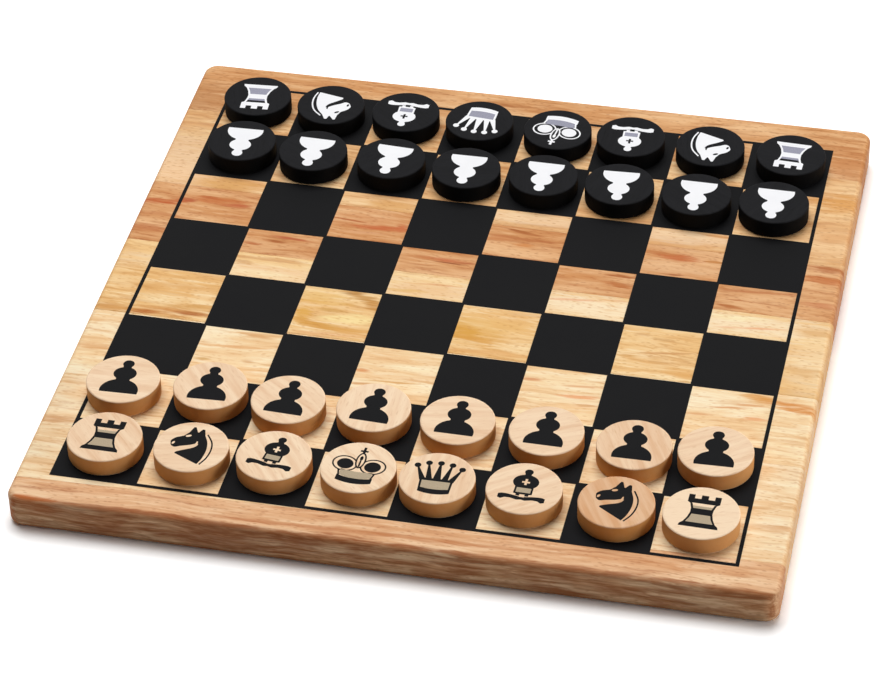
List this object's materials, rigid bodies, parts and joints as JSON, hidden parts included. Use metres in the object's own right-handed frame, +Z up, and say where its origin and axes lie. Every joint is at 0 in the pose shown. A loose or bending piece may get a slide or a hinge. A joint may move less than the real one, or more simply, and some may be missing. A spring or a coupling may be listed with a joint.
{
  "type": "flat chess set with disc chessmen",
  "caption": "Edge-glued wooden board with a printed chequered field, set with flat round wooden chessmen that lift off one by one.",
  "frame": {"origin": "middle of the board's underside", "axes": "+X right along the grain, +Y away from the light player, +Z up"},
  "size_m": [0.254, 0.254, 0.0191],
  "materials": {
    "stave_orange": "sanded and oiled orange-brown hardwood",
    "stave_pale": "sanded and oiled pale hardwood",
    "stave_yellow": "sanded and oiled figured yellow hardwood",
    "stave_red": "sanded and oiled red-brown hardwood",
    "stave_tan": "sanded and oiled tan hardwood",
    "black_ink": "satin black screen print",
    "light_disc": "plain sanded beech-like wood",
    "dark_disc": "satin black stained wood",
    "white_ink": "white printed figure"
  },
  "bodies": {
    "board": {"front_stave": "stave_orange", "second_stave": "stave_pale", "third_stave": "stave_pale", "fourth_stave": "stave_yellow", "fifth_stave": "stave_red", "sixth_stave": "stave_tan", "back_stave": "stave_orange", "printed_field": "black_ink"},
    "light_rook_a": {"light_rook_a": "light_disc"},
    "light_knight_b": {"light_knight_b": "light_disc"},
    "light_bishop_c": {"light_bishop_c": "light_disc"},
    "light_king_d": {"light_king_d": "light_disc"},
    "light_queen_e": {"light_queen_e": "light_disc"},
    "light_bishop_f": {"light_bishop_f": "light_disc"},
    "light_knight_g": {"light_knight_g": "light_disc"},
    "light_rook_h": {"light_rook_h": "light_disc"},
    "light_pawn_a": {"light_pawn_a": "light_disc"},
    "light_pawn_b": {"light_pawn_b": "light_disc"},
    "light_pawn_c": {"light_pawn_c": "light_disc"},
    "light_pawn_d": {"light_pawn_d": "light_disc"},
    "light_pawn_e": {"light_pawn_e": "light_disc"},
    "light_pawn_f": {"light_pawn_f": "light_disc"},
    "light_pawn_g": {"light_pawn_g": "light_disc"},
    "light_pawn_h": {"light_pawn_h": "light_disc"},
    "dark_rook_a": {"dark_rook_a": "dark_disc"},
    "dark_knight_b": {"dark_knight_b": "dark_disc"},
    "dark_bishop_c": {"dark_bishop_c": "dark_disc"},
    "dark_queen_d": {"dark_queen_d": "dark_disc"},
    "dark_king_e": {"dark_king_e": "dark_disc"},
    "dark_bishop_f": {"dark_bishop_f": "dark_disc"},
    "dark_knight_g": {"dark_knight_g": "dark_disc"},
    "dark_rook_h": {"dark_rook_h": "dark_disc"},
    "dark_pawn_a": {"dark_pawn_a": "dark_disc"},
    "dark_pawn_b": {"dark_pawn_b": "dark_disc"},
    "dark_pawn_c": {"dark_pawn_c": "dark_disc"},
    "dark_pawn_d": {"dark_pawn_d": "dark_disc"},
    "dark_pawn_e": {"dark_pawn_e": "dark_disc"},
    "dark_pawn_f": {"dark_pawn_f": "dark_disc"},
    "dark_pawn_g": {"dark_pawn_g": "dark_disc"},
    "dark_pawn_h": {"dark_pawn_h": "dark_disc"}
  },
  "joints": [
    {"name": "lift_light_rook_a", "type": "slide", "parent": "board", "child": "light_rook_a", "axis": [0, 0, 1], "range_m": [0, 0.03]},
    {"name": "lift_light_knight_b", "type": "slide", "parent": "board", "child": "light_knight_b", "axis": [0, 0, 1], "range_m": [0, 0.03]},
    {"name": "lift_light_bishop_c", "type": "slide", "parent": "board", "child": "light_bishop_c", "axis": [0, 0, 1], "range_m": [0, 0.03]},
    {"name": "lift_light_king_d", "type": "slide", "parent": "board", "child": "light_king_d", "axis": [0, 0, 1], "range_m": [0, 0.03]},
    {"name": "lift_light_queen_e", "type": "slide", "parent": "board", "child": "light_queen_e", "axis": [0, 0, 1], "range_m": [0, 0.03]},
    {"name": "lift_light_bishop_f", "type": "slide", "parent": "board", "child": "light_bishop_f", "axis": [0, 0, 1], "range_m": [0, 0.03]},
    {"name": "lift_light_knight_g", "type": "slide", "parent": "board", "child": "light_knight_g", "axis": [0, 0, 1], "range_m": [0, 0.03]},
    {"name": "lift_light_rook_h", "type": "slide", "parent": "board", "child": "light_rook_h", "axis": [0, 0, 1], "range_m": [0, 0.03]},
    {"name": "lift_light_pawn_a", "type": "slide", "parent": "board", "child": "light_pawn_a", "axis": [0, 0, 1], "range_m": [0, 0.03]},
    {"name": "lift_light_pawn_b", "type": "slide", "parent": "board", "child": "light_pawn_b", "axis": [0, 0, 1], "range_m": [0, 0.03]},
    {"name": "lift_light_pawn_c", "type": "slide", "parent": "board", "child": "light_pawn_c", "axis": [0, 0, 1], "range_m": [0, 0.03]},
    {"name": "lift_light_pawn_d", "type": "slide", "parent": "board", "child": "light_pawn_d", "axis": [0, 0, 1], "range_m": [0, 0.03]},
    {"name": "lift_light_pawn_e", "type": "slide", "parent": "board", "child": "light_pawn_e", "axis": [0, 0, 1], "range_m": [0, 0.03]},
    {"name": "lift_light_pawn_f", "type": "slide", "parent": "board", "child": "light_pawn_f", "axis": [0, 0, 1], "range_m": [0, 0.03]},
    {"name": "lift_light_pawn_g", "type": "slide", "parent": "board", "child": "light_pawn_g", "axis": [0, 0, 1], "range_m": [0, 0.03]},
    {"name": "lift_light_pawn_h", "type": "slide", "parent": "board", "child": "light_pawn_h", "axis": [0, 0, 1], "range_m": [0, 0.03]},
    {"name": "lift_dark_rook_a", "type": "slide", "parent": "board", "child": "dark_rook_a", "axis": [0, 0, 1], "range_m": [0, 0.03]},
    {"name": "lift_dark_knight_b", "type": "slide", "parent": "board", "child": "dark_knight_b", "axis": [0, 0, 1], "range_m": [0, 0.03]},
    {"name": "lift_dark_bishop_c", "type": "slide", "parent": "board", "child": "dark_bishop_c", "axis": [0, 0, 1], "range_m": [0, 0.03]},
    {"name": "lift_dark_queen_d", "type": "slide", "parent": "board", "child": "dark_queen_d", "axis": [0, 0, 1], "range_m": [0, 0.03]},
    {"name": "lift_dark_king_e", "type": "slide", "parent": "board", "child": "dark_king_e", "axis": [0, 0, 1], "range_m": [0, 0.03]},
    {"name": "lift_dark_bishop_f", "type": "slide", "parent": "board", "child": "dark_bishop_f", "axis": [0, 0, 1], "range_m": [0, 0.03]},
    {"name": "lift_dark_knight_g", "type": "slide", "parent": "board", "child": "dark_knight_g", "axis": [0, 0, 1], "range_m": [0, 0.03]},
    {"name": "lift_dark_rook_h", "type": "slide", "parent": "board", "child": "dark_rook_h", "axis": [0, 0, 1], "range_m": [0, 0.03]},
    {"name": "lift_dark_pawn_a", "type": "slide", "parent": "board", "child": "dark_pawn_a", "axis": [0, 0, 1], "range_m": [0, 0.03]},
    {"name": "lift_dark_pawn_b", "type": "slide", "parent": "board", "child": "dark_pawn_b", "axis": [0, 0, 1], "range_m": [0, 0.03]},
    {"name": "lift_dark_pawn_c", "type": "slide", "parent": "board", "child": "dark_pawn_c", "axis": [0, 0, 1], "range_m": [0, 0.03]},
    {"name": "lift_dark_pawn_d", "type": "slide", "parent": "board", "child": "dark_pawn_d", "axis": [0, 0, 1], "range_m": [0, 0.03]},
    {"name": "lift_dark_pawn_e", "type": "slide", "parent": "board", "child": "dark_pawn_e", "axis": [0, 0, 1], "range_m": [0, 0.03]},
    {"name": "lift_dark_pawn_f", "type": "slide", "parent": "board", "child": "dark_pawn_f", "axis": [0, 0, 1], "range_m": [0, 0.03]},
    {"name": "lift_dark_pawn_g", "type": "slide", "parent": "board", "child": "dark_pawn_g", "axis": [0, 0, 1], "range_m": [0, 0.03]},
    {"name": "lift_dark_pawn_h", "type": "slide", "parent": "board", "child": "dark_pawn_h", "axis": [0, 0, 1], "range_m": [0, 0.03]}
  ]
}
